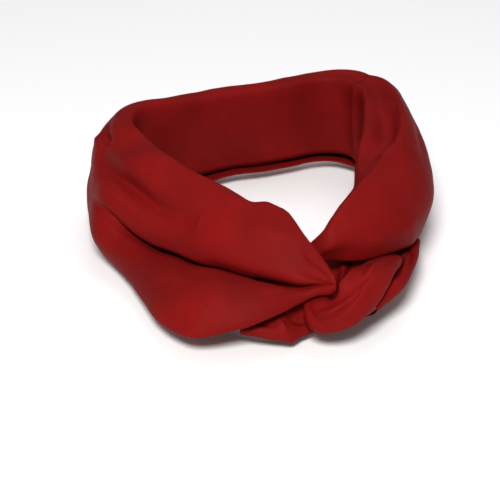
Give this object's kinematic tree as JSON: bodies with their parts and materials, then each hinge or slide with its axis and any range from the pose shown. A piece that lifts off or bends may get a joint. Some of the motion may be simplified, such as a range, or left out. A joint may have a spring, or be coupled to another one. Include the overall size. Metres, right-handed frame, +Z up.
{
  "type": "neck scarf",
  "caption": "Thin silk scarf worn round the neck: a folded oblong whose ends cross in front in a soft half-knot, with a broad draped side, a narrower band, a rolled knot lobe and a tucked tail.",
  "frame": {"origin": "On the neck's axis, where the neck holds the scarf, level with the scarf's lowest hem.", "axes": "+Z up along the neck, +Y from the knot to the nape (the wearer faces -Y), +X to the wearer's left."},
  "size_m": [0.1666, 0.1784, 0.0531],
  "materials": {
    "cloth": "deep red silk crepe, soft sheen"
  },
  "bodies": {
    "root": {"nape_stretch": "cloth", "right_hand_drape": "cloth", "left_hand_band": "cloth", "knot_wrap": "cloth", "wrap_pleats": "cloth", "hollow_pleat": "cloth", "tucked_end": "cloth"}
  },
  "joints": []
}
